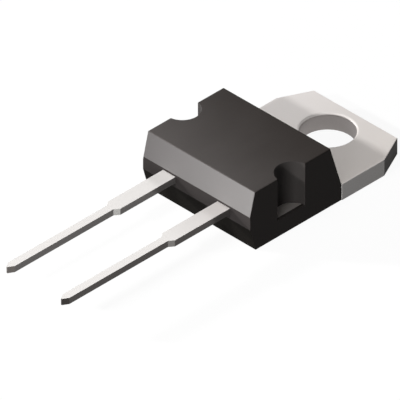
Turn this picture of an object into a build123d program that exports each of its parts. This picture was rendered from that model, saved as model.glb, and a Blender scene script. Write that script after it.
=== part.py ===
from build123d import *
import os
from math import radians, tan

# A two-lead power rectifier moulded round a thick metal tab, in millimetres.
# The origin is the centre of the mounting hole on the back face. +Z leaves the back face, +Y runs
# to the free end of the tab, and the leads run towards -Y, so the package lies on its back.

# Mounting tab, the bare part of the heat spreader
tab_thickness = 1.30
hole_diameter = 3.80
hole_to_tab_end = 2.61
tab_corner_width = 1.15
tab_corner_length = 2.40
tab_proud_of_body = 0.05
tab_edge_radius = 0.06
hole_rim_radius = 0.20

# Moulded body: it runs from the shoulder of the tab to its bottom front edge,
# and a flat band round the parting line overhangs that edge
body_width = 10.00
body_height = 4.65
body_length = 8.05
hole_to_body = 3.77
band_bottom_height = 1.80
band_top_height = 2.81
band_overhang = 0.51
front_slope_run = 0.45
back_slope_run = 1.05
body_edge_radius = 0.08

# Clamp notches in both sides of the body, open down to the heat spreader
notch_radius = 1.30
notch_outset = 0.17
notch_from_front = 3.33

# Paddle, the part of the heat spreader under the body, with the steps and groove that lock it in
side_wall = 0.25
paddle_from_front = 1.75
lock_step_width = 0.65
lock_step_height = 0.50
lock_groove_width = 0.60
lock_groove_depth = 0.30
lock_groove_from_shoulder = 1.00

# Leads, with their lengths measured from the band that they leave
lead_pitch = 5.08
lead_thickness = 0.50
lead_top_height = 2.65
lead_width = 1.16
lead_narrow_width = 0.60
lead_tip_width = 0.08
lead_length = 15.02
lead_wide_length = 5.12
lead_shoulder_length = 0.37
lead_tip_length = 0.44

# Strap that carries the cathode lead up from the paddle
strap_width = 1.90
strap_root_length = 0.30
strap_overlap = 0.45
strap_angle = 60.0
strap_bend_radius = 0.45
strap_taper_length = 0.40

# Bonding post on the inner end of the anode lead
post_width = 2.30
post_length = 1.50
post_from_front = 0.45
post_taper_length = 0.40
post_corner_radius = 0.25

# Die, soldered on the middle of the paddle
die_size = 2.60
die_thickness = 0.28
die_from_front = 4.20
solder_thickness = 0.05
solder_margin = 0.10

# Bond wires from the die to the post, each one loop between two feet that are squashed flat
wire_diameter = 0.38
wire_spacing = 0.90
wire_heel = 0.15
wire_loop_run = 1.60
wire_loop_height = 0.40
foot_length = 0.70
foot_width = 0.54
foot_thickness = 0.20

# Heights and places that follow from the sizes above
tab_half = body_width / 2 + tab_proud_of_body
body_back = -hole_to_body
body_front = body_back - body_length
band_front = body_front - band_overhang
paddle_half = body_width / 2 - side_wall
paddle_front = body_front + paddle_from_front
lead_bottom_height = lead_top_height - lead_thickness
cathode_x = -lead_pitch / 2
anode_x = lead_pitch / 2
post_front = body_front + post_from_front
post_y = post_front + post_length / 2
die_y = body_front + die_from_front
die_bottom_height = tab_thickness + solder_thickness
die_top_height = die_bottom_height + die_thickness


def lead_plan(centre_x, root_y, root_width, taper_length):
    """Plan of a lead: it narrows from its root, leaves the body wide, and ends in a blunt point."""
    shoulder_y = band_front - lead_wide_length
    tip_y = band_front - lead_length
    with BuildSketch(Plane.XY.offset(lead_bottom_height)) as plan:
        with BuildLine():
            Polyline(
                (centre_x, root_y),
                (centre_x + root_width / 2, root_y),
                (centre_x + lead_width / 2, root_y - taper_length),
                (centre_x + lead_width / 2, shoulder_y),
                (centre_x + lead_narrow_width / 2, shoulder_y - lead_shoulder_length),
                (centre_x + lead_narrow_width / 2, tip_y + lead_tip_length),
                (centre_x + lead_tip_width / 2, tip_y),
                (centre_x, tip_y),
            )
            mirror(about=Plane.YZ.offset(centre_x))
        make_face()
    return plan.sketch


# Cathode strap: the thin strip leaves the top of the paddle and bends up to the level of the leads
strap_low_height = tab_thickness - lead_thickness / 2
strap_high_height = lead_top_height - lead_thickness / 2
strap_low_y = paddle_front - strap_root_length
strap_high_y = strap_low_y - (strap_high_height - strap_low_height) / tan(radians(strap_angle))
strap_end_y = strap_high_y - strap_bend_radius

with BuildPart() as cathode_strap:
    with BuildSketch(Plane.YZ.offset(cathode_x)):
        with BuildLine():
            FilletPolyline(
                (paddle_front + strap_overlap, strap_low_height),
                (strap_low_y, strap_low_height),
                (strap_high_y, strap_high_height),
                (strap_end_y, strap_high_height),
                radius=strap_bend_radius,
            )
        trace(line_width=lead_thickness)
    extrude(amount=strap_width / 2, both=True)

# Heat spreader: the tab, the paddle and the cathode lead are one piece of copper
with BuildPart() as heat_spreader:
    with BuildSketch(Plane.XY):
        with BuildLine():
            Polyline(
                (0, hole_to_tab_end),
                (tab_half - tab_corner_width, hole_to_tab_end),
                (tab_half, hole_to_tab_end - tab_corner_length),
                (tab_half, body_back),
                (paddle_half, body_back),
                (paddle_half, paddle_front),
                (0, paddle_front),
            )
            mirror(about=Plane.YZ)
        make_face()
    extrude(amount=tab_thickness)
    with Locations((0, 0, tab_thickness)):
        Hole(hole_diameter / 2)
    # The punch rounds the upper edges of the bare tab a little, and the rim of the hole more
    bare_edges = heat_spreader.faces().sort_by(Axis.Z)[-1].edges().filter_by_position(
        Axis.Y, body_back, hole_to_tab_end, inclusive=(False, True)
    )
    fillet(bare_edges.filter_by(GeomType.LINE), radius=tab_edge_radius)
    hole_rim = heat_spreader.edges().filter_by(GeomType.CIRCLE).sort_by(Axis.Z)[-1]
    fillet(hole_rim, radius=hole_rim_radius)
    # A step round the underside of the paddle lets the moulding grip it from below
    with BuildSketch(Plane.XY):
        with Locations((0, body_back)):
            Rectangle(
                2 * paddle_half,
                body_back - paddle_front,
                align=(Align.CENTER, Align.MAX),
            )
            Rectangle(
                2 * (paddle_half - lock_step_width),
                body_back - paddle_front - lock_step_width,
                align=(Align.CENTER, Align.MAX),
                mode=Mode.SUBTRACT,
            )
    extrude(amount=lock_step_height, mode=Mode.SUBTRACT)
    # A groove across the top of the paddle, under the back wall of the body
    groove_y = body_back - lock_groove_from_shoulder
    with BuildSketch(Plane.YZ):
        with BuildLine():
            Polyline(
                (groove_y - lock_groove_width / 2, tab_thickness),
                (groove_y, tab_thickness - lock_groove_depth),
                (groove_y + lock_groove_width / 2, tab_thickness),
                close=True,
            )
        make_face()
    extrude(amount=paddle_half, both=True, mode=Mode.SUBTRACT)
    add(cathode_strap.part)
    extrude(
        lead_plan(cathode_x, strap_end_y, strap_width, strap_taper_length),
        amount=lead_thickness,
    )

# Anode lead: a flat stamping with a wide post for the bond wires
with BuildPart() as anode_lead:
    with BuildSketch(Plane.XY.offset(lead_bottom_height)):
        with Locations((anode_x, post_front)):
            Rectangle(post_width, post_length, align=(Align.CENTER, Align.MIN))
    extrude(amount=lead_thickness)
    fillet(
        anode_lead.edges().filter_by(Axis.Z).group_by(Axis.Y)[-1],
        radius=post_corner_radius,
    )
    extrude(
        lead_plan(anode_x, post_front, post_width, post_taper_length),
        amount=lead_thickness,
    )

# Solder under the die
with BuildPart() as die_attach_solder:
    with BuildSketch(Plane.XY.offset(tab_thickness)):
        with Locations((0, die_y)):
            Rectangle(die_size + 2 * solder_margin, die_size + 2 * solder_margin)
    extrude(amount=solder_thickness)

# Schottky die
with BuildPart() as schottky_die:
    with BuildSketch(Plane.XY.offset(die_bottom_height)):
        with Locations((0, die_y)):
            Rectangle(die_size, die_size)
    extrude(amount=die_thickness)

# Bond wires: each leaves its foot on the die, loops over and comes down in its foot on the post
span = Vector(anode_x, post_y - die_y, 0)
bond_wires = []
for side in (-1, 1):
    start = Vector(side * wire_spacing / 2, die_y, 0)
    upright = Plane(start, x_dir=span, z_dir=span.cross(Vector(0, 0, 1)))
    with BuildPart() as bond_wire:
        with BuildLine(upright) as loop:
            ThreePointArc(
                (wire_heel, die_top_height),
                (wire_heel + wire_loop_run, lead_top_height + wire_loop_height),
                (span.length - wire_heel, lead_top_height),
            )
        with BuildSketch(Plane(loop.line @ 0, z_dir=loop.line % 0)):
            Circle(wire_diameter / 2)
        sweep()
        for foot_centre, foot_height in (
            (start, die_top_height),
            (start + span, lead_top_height),
        ):
            flat = Plane(foot_centre, x_dir=span, z_dir=(0, 0, 1)).offset(foot_height)
            with BuildSketch(flat):
                SlotOverall(foot_length, foot_width)
            extrude(amount=foot_thickness)
        add(schottky_die.part, mode=Mode.SUBTRACT)
        add(anode_lead.part, mode=Mode.SUBTRACT)
    bond_wires.append(bond_wire)

# Moulded body: one profile across the package, notched, and filled in round everything it holds
with BuildPart() as moulded_body:
    with BuildSketch(Plane.YZ):
        with BuildLine():
            Polyline(
                (body_front, 0),
                (band_front, band_bottom_height),
                (band_front, band_top_height),
                (band_front + front_slope_run, body_height),
                (body_back - back_slope_run, body_height),
                (body_back, tab_thickness),
                (body_back, 0),
                close=True,
            )
        make_face()
    extrude(amount=body_width / 2, both=True)
    # The upper half of the mould has slightly rounded edges
    upper_edges = moulded_body.edges().filter_by_position(
        Axis.Z, band_top_height, body_height, inclusive=(False, True)
    )
    fillet(upper_edges, radius=body_edge_radius)
    with BuildSketch(Plane.XY.offset(tab_thickness)):
        notch_x = body_width / 2 + notch_outset
        with Locations(
            (-notch_x, body_front + notch_from_front),
            (notch_x, body_front + notch_from_front),
        ):
            Circle(notch_radius)
    extrude(amount=body_height, mode=Mode.SUBTRACT)
    for held in (heat_spreader, anode_lead, die_attach_solder, schottky_die, *bond_wires):
        add(held.part, mode=Mode.SUBTRACT)

# One file for each piece
os.makedirs("parts", exist_ok=True)

moulded_body.part.label = "moulded_body"
export_step(moulded_body.part, "parts/moulded_body.step")

heat_spreader.part.label = "heat_spreader"
export_step(heat_spreader.part, "parts/heat_spreader.step")

anode_lead.part.label = "anode_lead"
export_step(anode_lead.part, "parts/anode_lead.step")

die_attach_solder.part.label = "die_attach_solder"
export_step(die_attach_solder.part, "parts/die_attach_solder.step")

schottky_die.part.label = "schottky_die"
export_step(schottky_die.part, "parts/schottky_die.step")

for number, bond_wire in enumerate(bond_wires, start=1):
    bond_wire.part.label = f"bond_wire_{number}"
    export_step(bond_wire.part, f"parts/bond_wire_{number}.step")
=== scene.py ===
import bpy
import math
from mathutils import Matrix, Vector


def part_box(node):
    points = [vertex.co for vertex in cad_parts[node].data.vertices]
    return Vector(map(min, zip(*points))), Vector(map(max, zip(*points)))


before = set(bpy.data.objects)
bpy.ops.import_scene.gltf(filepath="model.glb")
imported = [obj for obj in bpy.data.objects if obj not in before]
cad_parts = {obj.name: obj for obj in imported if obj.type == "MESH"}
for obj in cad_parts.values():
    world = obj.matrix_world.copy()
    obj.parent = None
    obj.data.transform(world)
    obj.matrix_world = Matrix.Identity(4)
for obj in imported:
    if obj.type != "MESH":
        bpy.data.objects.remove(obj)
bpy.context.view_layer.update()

MM = 0.001

# The photograph's view: an isometric one through a long lens, so distances show almost alike
VIEW_AZIMUTH = math.radians(45.0)
VIEW_ELEVATION = math.radians(35.264)
VIEW_TARGET = Vector((-1.628, -10.374, -0.022)) * MM
VIEW_WIDTH = 26.44 * MM
CAMERA_DISTANCE = 1.2
SENSOR_WIDTH = 36.0
CLIP_NEAR, CLIP_FAR = 0.1, 10.0

# Places on the package that the finishes change at
BODY_LOW, BODY_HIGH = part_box("moulded_body")
BODY_LEFT, BODY_RIGHT = BODY_LOW.x, BODY_HIGH.x
BODY_FRONT, BODY_BACK = BODY_LOW.y, BODY_HIGH.y
LEAD_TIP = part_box("anode_lead")[0].y

# Noise lies mostly between these values, so the finishes are spread between them
NOISE_LOW, NOISE_HIGH = 0.3, 0.7
NOISE_MEAN = 0.5


def make_camera():
    """Stands far off along the isometric axis, with a frame as wide as the photograph's."""
    back = Vector((
        math.sin(VIEW_AZIMUTH) * math.cos(VIEW_ELEVATION),
        -math.cos(VIEW_AZIMUTH) * math.cos(VIEW_ELEVATION),
        math.sin(VIEW_ELEVATION),
    ))
    data = bpy.data.cameras.new("camera")
    data.sensor_width = SENSOR_WIDTH
    data.lens = SENSOR_WIDTH * CAMERA_DISTANCE / VIEW_WIDTH
    data.clip_start = CLIP_NEAR
    data.clip_end = CLIP_FAR
    camera = bpy.data.objects.new("camera", data)
    camera.location = VIEW_TARGET + back * CAMERA_DISTANCE
    camera.rotation_mode = "QUATERNION"
    camera.rotation_quaternion = (-back).to_track_quat("-Z", "Y")
    bpy.context.scene.collection.objects.link(camera)
    bpy.context.scene.camera = camera


class Nodes:
    """A short way to add and link the nodes of one material or world."""

    # Sockets of the Mix node that carry its factor and its colours
    MIX_FACTOR, MIX_FIRST, MIX_SECOND, MIX_RESULT = 0, 6, 7, 2

    def __init__(self, owner):
        owner.use_nodes = True
        self.tree = owner.node_tree
        self.tree.nodes.clear()

    def add(self, kind, inputs=None, **settings):
        node = self.tree.nodes.new(kind)
        for name, value in settings.items():
            setattr(node, name, value)
        for name, value in (inputs or {}).items():
            self.set(node.inputs[name], value)
        return node

    def set(self, socket, value):
        """Links the socket to another one, or gives it a plain value."""
        if isinstance(value, bpy.types.NodeSocket):
            self.tree.links.new(value, socket)
        else:
            socket.default_value = value

    def surface(self):
        """Position, its X, Y and Z, those of the face's direction, and 0 to 1 from left to right."""
        coordinates = self.add("ShaderNodeTexCoord").outputs
        position = coordinates["Object"]
        place = self.add("ShaderNodeSeparateXYZ", {0: position}).outputs
        facing = self.add("ShaderNodeSeparateXYZ", {0: coordinates["Normal"]}).outputs
        from_left = self.remap(place["X"], BODY_LEFT, BODY_RIGHT, 0.0, 1.0)
        return position, place, facing, from_left

    def math(self, operation, *values):
        return self.add("ShaderNodeMath", dict(enumerate(values)), operation=operation).outputs[0]

    def remap(self, value, from_low, from_high, to_low, to_high):
        limits = {0: value, 1: from_low, 2: from_high, 3: to_low, 4: to_high}
        return self.add("ShaderNodeMapRange", limits).outputs[0]

    def noise(self, position, size, detail=2.0, stretch=(1.0, 1.0, 1.0)):
        """Noise from 0 to 1 whose features measure about `size` metres, drawn out by `stretch`."""
        per_metre = [1 / (size * factor) for factor in stretch]
        scaled = self.add("ShaderNodeVectorMath", {0: position, 1: per_metre}, operation="MULTIPLY")
        settings = {"Vector": scaled.outputs[0], "Scale": 1.0, "Detail": detail}
        return self.add("ShaderNodeTexNoise", settings).outputs[0]

    def mix_value(self, factor, first, second):
        return self.remap(factor, 0.0, 1.0, first, second)

    def mix_colour(self, factor, first, second):
        inputs = {self.MIX_FACTOR: factor, self.MIX_FIRST: first, self.MIX_SECOND: second}
        return self.add("ShaderNodeMix", inputs, data_type="RGBA").outputs[self.MIX_RESULT]

    def bump(self, height, distance, strength):
        inputs = {"Height": height, "Distance": distance, "Strength": strength}
        return self.add("ShaderNodeBump", inputs).outputs[0]


def camera_or_mirror_rays(nodes):
    """1 for what the camera sees, straight or in a reflection, and 0 for the light on surfaces."""
    path = nodes.add("ShaderNodeLightPath").outputs
    seen = nodes.math("MAXIMUM", path["Is Camera Ray"], path["Is Glossy Ray"])
    return nodes.math("MAXIMUM", seen, path["Is Transmission Ray"])


# Strengths of the world and the floor, and the floor's own linear colour
WHITE = (1.0, 1.0, 1.0, 1.0)
BACKDROP_GLOW = 1.0
AMBIENT = 0.03
FLOOR_GLOW = 0.93
FLOOR_COLOUR = (0.10, 0.10, 0.10, 1.0)

# The floor's half width, and its height, a little under the part
FLOOR_HALF = 1.5
FLOOR_HEIGHT = -0.01 * MM


def make_world():
    """White where it is seen, and a weak even light for the rest."""
    world = bpy.data.worlds.new("studio")
    bpy.context.scene.world = world
    nodes = Nodes(world)
    strength = nodes.mix_value(camera_or_mirror_rays(nodes), AMBIENT, BACKDROP_GLOW)
    background = nodes.add("ShaderNodeBackground", {"Color": WHITE, "Strength": strength})
    nodes.add("ShaderNodeOutputWorld", {"Surface": background.outputs[0]})


def make_floor():
    """A pale floor that shows white, with only a faint shadow under the part."""
    signs = ((-1, -1), (1, -1), (1, 1), (-1, 1))
    corners = [(x * FLOOR_HALF, y * FLOOR_HALF, FLOOR_HEIGHT) for x, y in signs]
    mesh = bpy.data.meshes.new("floor")
    mesh.from_pydata(corners, [], [(0, 1, 2, 3)])
    floor = bpy.data.objects.new("floor", mesh)
    bpy.context.scene.collection.objects.link(floor)
    material = bpy.data.materials.new("pale_floor")
    nodes = Nodes(material)
    glow = nodes.math("MULTIPLY", camera_or_mirror_rays(nodes), FLOOR_GLOW)
    emission = nodes.add("ShaderNodeEmission", {"Color": WHITE, "Strength": glow})
    diffuse = nodes.add("ShaderNodeBsdfDiffuse", {"Color": FLOOR_COLOUR})
    both = nodes.add("ShaderNodeAddShader", {0: emission.outputs[0], 1: diffuse.outputs[0]})
    nodes.add("ShaderNodeOutputMaterial", {"Surface": both.outputs[0]})
    mesh.materials.append(material)


# Point in the middle of the body that the lamps are aimed at
LAMP_AIM = Vector((0.0, -8.0, 2.0)) * MM


def make_light(name, azimuth, elevation, distance, width, height, radiance, mirrored=True):
    """A softbox aimed at the body, with azimuth 0 in front of the leads and 90 on the +X side.

    A lamp that isn't mirrored throws light and shadows but leaves no glare on the metal.
    """
    a, e = math.radians(azimuth), math.radians(elevation)
    towards = Vector((math.sin(a) * math.cos(e), -math.cos(a) * math.cos(e), math.sin(e)))
    data = bpy.data.lights.new(name, "AREA")
    data.shape = "RECTANGLE"
    data.size, data.size_y = width, height
    data.energy = radiance * math.pi * width * height
    light = bpy.data.objects.new(name, data)
    light.location = LAMP_AIM + towards * distance
    light.rotation_mode = "QUATERNION"
    light.rotation_quaternion = (-towards).to_track_quat("-Z", "Y")
    light.visible_glossy = mirrored
    bpy.context.scene.collection.objects.link(light)


# Linear colours of the moulding, one black epoxy painted in lit and shaded copies by how each face
# meets the light. The top is painted paler towards the cathode's front corner. The front draft
# carries a painted highlight, much paler than the faces round it and growing towards the right. The
# band and the notch walls are painted paler than the sides, and the undercut is painted shade
TOP_SHADED, TOP_LIT = (0.036, 0.030, 0.027, 1.0), (0.129, 0.118, 0.114, 1.0)
DRAFT_HIGHLIGHT_LEFT, DRAFT_HIGHLIGHT_RIGHT = (0.128, 0.121, 0.120, 1.0), (0.230, 0.220, 0.217, 1.0)
BAND_LEFT, BAND_RIGHT = (0.033, 0.029, 0.028, 1.0), (0.042, 0.037, 0.036, 1.0)
UNDERCUT_SHADE = (0.010, 0.009, 0.008, 1.0)
SIDE = (0.0155, 0.013, 0.012, 1.0)
NOTCH_WALL = (0.057, 0.052, 0.050, 1.0)

# The notches lie between these places, and further in than the inset from the sides
NOTCH_FRONT, NOTCH_BACK = -10.0 * MM, -7.0 * MM
NOTCH_INSET = 0.03 * MM

# Limits of a face's direction: one that looks to the front, one that leans up or down, and the top
FRONT_FACING = (-0.9, -0.7)
UPRIGHT, SLOPED = 0.08, 0.18
TOP_FACING = (0.5, 0.7)

# Shares of the top's tone: painted light, paler towards the front and the left, and the real grain
# and flow marks
PAINTED_LIGHT_FRONT, PAINTED_LIGHT_LEFT = 0.74, 0.26
GRAIN_GREY, FLOW_GREY = 0.08, 0.18
GREY_CONTRAST = 1.7

# Grain, flow marks and shine of the moulding
MOULD_GRAIN_SIZE = 0.10 * MM
FLOW_SIZE, FLOW_STRETCH = 2.5 * MM, (1.0, 2.0, 1.0)
MOULD_DETAIL = 3.0
MOULD_ROUGHNESS = (0.40, 0.52)
UNDERCUT_ROUGHER = 0.4
MOULD_SPECULAR = 0.03
MOULD_BUMP_DISTANCE, MOULD_BUMP_STRENGTH = 0.004 * MM, 0.6


def moulding_material():
    """Black epoxy: matt, with the fine grain of an eroded mould and faint flow marks.

    Its faces are painted in lit and shaded copies: a paler top, a painted highlight on the front
    draft and painted shade on the undercut.
    """
    material = bpy.data.materials.new("moulding_compound")
    nodes = Nodes(material)
    position, place, facing, from_left = nodes.surface()
    grain = nodes.noise(position, MOULD_GRAIN_SIZE, detail=MOULD_DETAIL)
    flow = nodes.noise(position, FLOW_SIZE, detail=MOULD_DETAIL, stretch=FLOW_STRETCH)

    # Painted light: the top is paler towards the front and the left, with the real grain and flow
    # marks on it
    front_light = nodes.remap(place["Y"], BODY_FRONT, BODY_BACK, PAINTED_LIGHT_FRONT, 0.0)
    left_light = nodes.mix_value(from_left, PAINTED_LIGHT_LEFT, 0.0)
    marks = nodes.math("MULTIPLY_ADD", grain, GRAIN_GREY, nodes.math("MULTIPLY", flow, FLOW_GREY))
    marks = nodes.math("SUBTRACT", marks, NOISE_MEAN * (GRAIN_GREY + FLOW_GREY))
    greyness = nodes.math("ADD", nodes.math("ADD", front_light, left_light), marks)
    top = nodes.mix_colour(nodes.math("POWER", greyness, GREY_CONTRAST), TOP_SHADED, TOP_LIT)

    inset = nodes.math("LESS_THAN", nodes.math("ABSOLUTE", place["X"]), BODY_RIGHT - NOTCH_INSET)
    behind = nodes.math("GREATER_THAN", place["Y"], NOTCH_FRONT)
    before = nodes.math("LESS_THAN", place["Y"], NOTCH_BACK)
    in_notch = nodes.math("MULTIPLY", inset, nodes.math("MULTIPLY", behind, before))
    outside = nodes.math("SUBTRACT", 1.0, in_notch)
    front = nodes.math("MULTIPLY", nodes.remap(facing["Y"], *FRONT_FACING, 1.0, 0.0), outside)
    draft = nodes.math("MULTIPLY", front, nodes.remap(facing["Z"], UPRIGHT, SLOPED, 0.0, 1.0))
    undercut = nodes.math("MULTIPLY", front, nodes.remap(facing["Z"], -SLOPED, -UPRIGHT, 1.0, 0.0))
    upwards = nodes.remap(facing["Z"], *TOP_FACING, 0.0, 1.0)

    # Painted light: the notch walls and the front band are paler than the sides, the band more so to
    # the right
    colour = nodes.mix_colour(in_notch, SIDE, NOTCH_WALL)
    colour = nodes.mix_colour(front, colour, nodes.mix_colour(from_left, BAND_LEFT, BAND_RIGHT))
    # Painted highlight on the front draft, growing towards the right
    colour = nodes.mix_colour(draft, colour, nodes.mix_colour(from_left, DRAFT_HIGHLIGHT_LEFT, DRAFT_HIGHLIGHT_RIGHT))
    # Painted shade on the undercut, which faces down
    colour = nodes.mix_colour(undercut, colour, UNDERCUT_SHADE)
    colour = nodes.mix_colour(upwards, colour, top)
    matt = nodes.remap(grain, NOISE_LOW, NOISE_HIGH, *MOULD_ROUGHNESS)

    shader = nodes.add("ShaderNodeBsdfPrincipled", {
        "Base Color": colour,
        "Roughness": nodes.math("MULTIPLY_ADD", undercut, UNDERCUT_ROUGHER, matt),
        "Specular IOR Level": MOULD_SPECULAR,
        "Normal": nodes.bump(grain, MOULD_BUMP_DISTANCE, MOULD_BUMP_STRENGTH),
    })
    nodes.add("ShaderNodeOutputMaterial", {"Surface": shader.outputs[0]})
    return material


# Linear colours and metal share of the tab, whose cathode's side is painted brighter, as painted
# light, under its real clouds, and of its ledges in the notches, which are painted darker, as
# painted shade.
# The ledges lie in front of TAB_FRONT
TAB_FRONT = -6.0 * MM
TAB_LEFT, TAB_RIGHT = (0.93, 0.885, 0.862, 1.0), (0.725, 0.68, 0.646, 1.0)
TAB_METAL_LEFT, TAB_METAL_RIGHT = 0.20, 0.40
SHADED_LEDGE, SHADED_LEDGE_METAL = (0.46, 0.43, 0.41, 1.0), 0.15

# The same of the leads, whose finish begins at the body's front face. The anode lead is painted
# darker as far as ROOT_REACH from it, as painted shade
LEAD, ANODE_ROOT_SHADE = (0.97, 0.94, 0.915, 1.0), (0.79, 0.745, 0.725, 1.0)
LEAD_ROOT_METAL, LEAD_TIP_METAL = 0.21, 0.42
LEAD_FADE = 1.0 * MM
ROOT_REACH = 5.0 * MM

# The same of the cut edges: the tab's, the leads' sides, and the leads' facets at the shoulders and
# at the pointed ends, which lie within POINT_LENGTH of the tip. The leads' sides are painted much
# darker than the tab's cut edges, as painted shade, and the two leads' sides and facets are lit and
# shaded copies: the cathode lead's are painted paler, the anode lead's darker
CUT_DARK, CUT_PALE = (0.62, 0.60, 0.585, 1.0), (0.70, 0.68, 0.665, 1.0)
CATHODE_CUT, ANODE_CUT = (0.228, 0.215, 0.210, 1.0), (0.150, 0.138, 0.133, 1.0)
CATHODE_SHOULDER, ANODE_SHOULDER = (0.54, 0.53, 0.51, 1.0), (0.24, 0.23, 0.22, 1.0)
CATHODE_END, ANODE_END = (0.17, 0.155, 0.145, 1.0), (0.06, 0.054, 0.05, 1.0)
LEAD_CUT_METAL = 0.25
POINT_LENGTH = 0.6 * MM

# The hole's wall, with the lower part of its rounded rim
HOLE_WALL, HOLE_METAL = (0.33, 0.305, 0.295, 1.0), 0.9
HOLE_REACH = 1.99 * MM

# Limits of a face's direction: one that was cut, and a facet that looks to the front
CUT_FACING = (0.3, 0.7)
FACET_FACING = -0.3

# Clouds, rolling marks, grain and shine of the tin
CLOUD_SIZE, CLOUD_STRETCH = 3.0 * MM, (1.6, 1.0, 1.0)
CLOUDINESS = 0.3
ROLLED_SIZE, ROLLED_STRETCH = 0.12 * MM, (1.0, 30.0, 1.0)
TIN_GRAIN_SIZE = 0.08 * MM
TAB_ROUGHNESS, LEAD_ROUGHNESS = (0.37, 0.45), (0.14, 0.20)
CUT_ROUGHER = 0.12
TIN_BUMP_DISTANCE = 0.002 * MM
TAB_BUMP_STRENGTH, LEAD_BUMP_STRENGTH = 0.12, 0.04


def tinned_material():
    """Tin-plated copper strip: a satin, slightly cloudy tab, brighter leads, duller cut edges.

    Light and shade are painted on: the cathode's side of the tab is brighter, and the ledges, the
    anode lead's root and the leads' cut faces are darker.
    """
    material = bpy.data.materials.new("tinned_copper")
    nodes = Nodes(material)
    position, place, facing, from_left = nodes.surface()
    clouds = nodes.noise(position, CLOUD_SIZE, stretch=CLOUD_STRETCH)
    rolled = nodes.noise(position, ROLLED_SIZE, stretch=ROLLED_STRETCH)
    grain = nodes.noise(position, TIN_GRAIN_SIZE)
    clouding = nodes.math("SUBTRACT", clouds, NOISE_MEAN)
    # Real clouds on the tab, laid over painted light that makes its cathode's side brighter
    cloudy = nodes.math("MULTIPLY_ADD", clouding, CLOUDINESS, from_left)

    on_tab = nodes.math("GREATER_THAN", place["Y"], TAB_FRONT)
    on_lead = nodes.remap(place["Y"], BODY_FRONT, BODY_FRONT + LEAD_FADE, 1.0, 0.0)
    on_anode = nodes.math("GREATER_THAN", place["X"], 0.0)
    # Painted shade on the anode lead near the body
    near_root = nodes.remap(place["Y"], BODY_FRONT, BODY_FRONT - ROOT_REACH, 1.0, 0.0)
    anode_root_shade = nodes.math("MULTIPLY", on_anode, near_root)
    # Painted shade on the tab's ledges in the notches
    face = nodes.mix_colour(on_tab, SHADED_LEDGE, nodes.mix_colour(cloudy, TAB_LEFT, TAB_RIGHT))
    face = nodes.mix_colour(on_lead, face, nodes.mix_colour(anode_root_shade, LEAD, ANODE_ROOT_SHADE))
    tab_metal = nodes.mix_value(from_left, TAB_METAL_LEFT, TAB_METAL_RIGHT)
    lead_metal = nodes.remap(place["Y"], BODY_FRONT, LEAD_TIP, LEAD_ROOT_METAL, LEAD_TIP_METAL)
    face_metal = nodes.mix_value(on_tab, SHADED_LEDGE_METAL, tab_metal)
    face_metal = nodes.mix_value(on_lead, face_metal, lead_metal)

    is_cut = nodes.remap(nodes.math("ABSOLUTE", facing["Z"]), *CUT_FACING, 1.0, 0.0)
    across = nodes.math("MULTIPLY", place["X"], place["X"])
    along = nodes.math("MULTIPLY", place["Y"], place["Y"])
    in_hole = nodes.math("LESS_THAN", nodes.math("ADD", across, along), HOLE_REACH ** 2)
    on_facet = nodes.math("LESS_THAN", facing["Y"], FACET_FACING)
    at_end = nodes.math("LESS_THAN", place["Y"], LEAD_TIP + POINT_LENGTH)
    # Painted light and shade: the cathode lead's cut faces are paler, the anode lead's darker
    shoulder = nodes.mix_colour(on_anode, CATHODE_SHOULDER, ANODE_SHOULDER)
    end = nodes.mix_colour(on_anode, CATHODE_END, ANODE_END)
    lead_cut = nodes.mix_colour(on_anode, CATHODE_CUT, ANODE_CUT)
    lead_cut = nodes.mix_colour(on_facet, lead_cut, nodes.mix_colour(at_end, shoulder, end))
    speckle = nodes.remap(grain, NOISE_LOW, NOISE_HIGH, 0.0, 1.0)
    cut = nodes.mix_colour(on_lead, nodes.mix_colour(speckle, CUT_DARK, CUT_PALE), lead_cut)
    cut = nodes.mix_colour(in_hole, cut, HOLE_WALL)
    lead_cut_metal = nodes.math("MULTIPLY", on_lead, LEAD_CUT_METAL)
    cut_metal = nodes.math("MULTIPLY_ADD", in_hole, HOLE_METAL, lead_cut_metal)

    streaks = nodes.math("ADD", clouds, rolled)
    satin = nodes.remap(streaks, 2 * NOISE_LOW, 2 * NOISE_HIGH, *TAB_ROUGHNESS)
    satin = nodes.math("MULTIPLY_ADD", is_cut, CUT_ROUGHER, satin)
    bright = nodes.remap(streaks, 2 * NOISE_LOW, 2 * NOISE_HIGH, *LEAD_ROUGHNESS)
    relief = nodes.mix_value(on_lead, TAB_BUMP_STRENGTH, LEAD_BUMP_STRENGTH)
    shader = nodes.add("ShaderNodeBsdfPrincipled", {
        "Base Color": nodes.mix_colour(is_cut, face, cut),
        "Metallic": nodes.mix_value(is_cut, face_metal, cut_metal),
        "Roughness": nodes.mix_value(on_lead, satin, bright),
        "Specular IOR Level": 0.0,
        "Normal": nodes.bump(nodes.math("ADD", rolled, grain), TIN_BUMP_DISTANCE, relief),
    })
    nodes.add("ShaderNodeOutputMaterial", {"Surface": shader.outputs[0]})
    return material


# What the finishes of the sealed pieces share
INNER_ROUGHNESS_RANGE = 0.1
INNER_BUMP_DISTANCE, INNER_BUMP_STRENGTH = 0.002 * MM, 0.4


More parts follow.
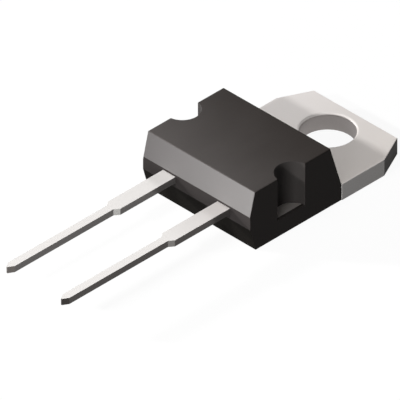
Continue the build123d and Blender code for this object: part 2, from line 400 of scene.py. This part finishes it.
def inner_material(name, dark, pale, metallic, roughness, grain_size):
    """A plain finish with fine grain for a piece sealed inside the moulding."""
    material = bpy.data.materials.new(name)
    nodes = Nodes(material)
    position = nodes.add("ShaderNodeTexCoord").outputs["Object"]
    grain = nodes.noise(position, grain_size)
    roughest = roughness + INNER_ROUGHNESS_RANGE
    shader = nodes.add("ShaderNodeBsdfPrincipled", {
        "Base Color": nodes.mix_colour(grain, (*dark, 1.0), (*pale, 1.0)),
        "Metallic": metallic,
        "Roughness": nodes.remap(grain, NOISE_LOW, NOISE_HIGH, roughness, roughest),
        "Normal": nodes.bump(grain, INNER_BUMP_DISTANCE, INNER_BUMP_STRENGTH),
    })
    nodes.add("ShaderNodeOutputMaterial", {"Surface": shader.outputs[0]})
    return material


def dress(material, *node_names):
    """Gives CAD nodes their finish."""
    for name in node_names:
        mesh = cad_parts[name].data
        mesh.materials.clear()
        mesh.materials.append(material)


make_camera()
make_world()
make_floor()

# Two small hard lamps for the shadows, and softer ones for the sides, the notch and the hole's rim
make_light("key", azimuth=0, elevation=31.4, distance=0.5,
           width=0.06, height=0.026, radiance=254, mirrored=False)
make_light("left_key", azimuth=-53.3, elevation=20, distance=0.5,
           width=0.03, height=0.026, radiance=773, mirrored=False)
make_light("front_right", azimuth=28, elevation=8, distance=0.25,
           width=0.10, height=0.08, radiance=11.5)
make_light("overhead", azimuth=-20, elevation=80, distance=0.30,
           width=0.25, height=0.25, radiance=0.5)
make_light("left", azimuth=-62, elevation=12, distance=0.30,
           width=0.26, height=0.05, radiance=7)
make_light("back_left", azimuth=205, elevation=15, distance=0.25,
           width=0.10, height=0.08, radiance=3)

dress(moulding_material(), "moulded_body")
dress(tinned_material(), "heat_spreader", "anode_lead")
dress(
    inner_material("solder", dark=(0.30, 0.30, 0.31), pale=(0.50, 0.50, 0.51),
                   metallic=0.9, roughness=0.45, grain_size=0.15 * MM),
    "die_attach_solder",
)
dress(
    inner_material("silicon", dark=(0.10, 0.11, 0.13), pale=(0.20, 0.21, 0.23),
                   metallic=0.3, roughness=0.15, grain_size=0.30 * MM),
    "schottky_die",
)
dress(
    inner_material("bond_aluminium", dark=(0.70, 0.70, 0.71), pale=(0.85, 0.85, 0.86),
                   metallic=1.0, roughness=0.25, grain_size=0.05 * MM),
    "bond_wire_1", "bond_wire_2",
)

bpy.context.scene.view_settings.view_transform = "Standard"
